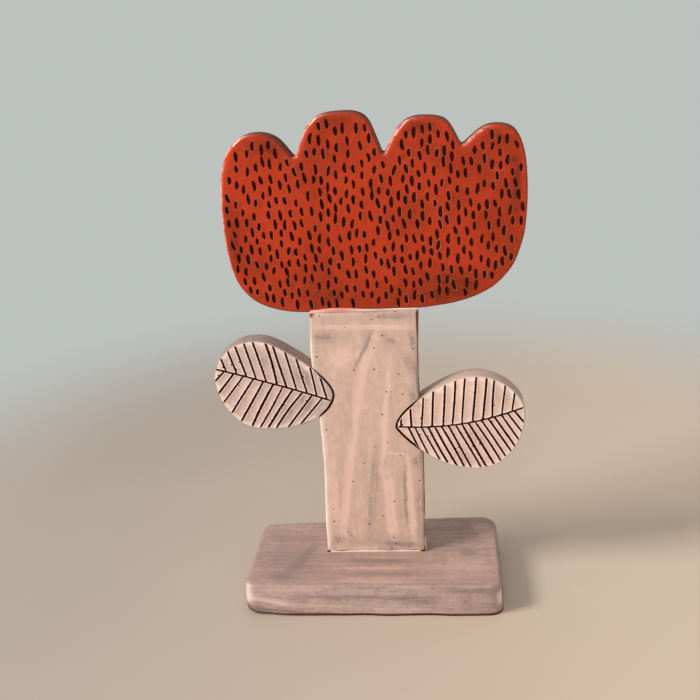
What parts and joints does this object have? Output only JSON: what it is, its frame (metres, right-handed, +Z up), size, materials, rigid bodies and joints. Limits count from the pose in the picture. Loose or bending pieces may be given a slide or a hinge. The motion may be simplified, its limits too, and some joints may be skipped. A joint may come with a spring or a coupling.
{
  "type": "ceramic flower ornament",
  "caption": "Slab-built ceramic flower: scalloped head carved with gouge marks, broad stem with two incised leaves, luted upright on a thick rectangular base.",
  "frame": {"origin": "centre of the base's underside", "axes": "+Z up along the stem, +Y from the front face to the back, +X to the right as seen from the front"},
  "size_m": [0.1578, 0.0654, 0.2489],
  "materials": {
    "red_glaze": "glossy orange-red glaze, browner at the edges, carved marks dark brown",
    "pale_glaze": "brushed satin glaze in pale pink and grey-beige with pinholes, incised lines black-brown",
    "terracotta": "matt fired red clay, bare of glaze"
  },
  "bodies": {
    "root": {"base_slab": "pale_glaze", "foot_slip_bed": "terracotta", "foot_coil": "pale_glaze", "stem_slab": "pale_glaze", "left_leaf_slip": "terracotta", "left_leaf": "pale_glaze", "right_leaf_slip": "terracotta", "right_leaf": "pale_glaze", "head_slip_seam": "terracotta", "flower_head": "red_glaze"}
  },
  "joints": []
}
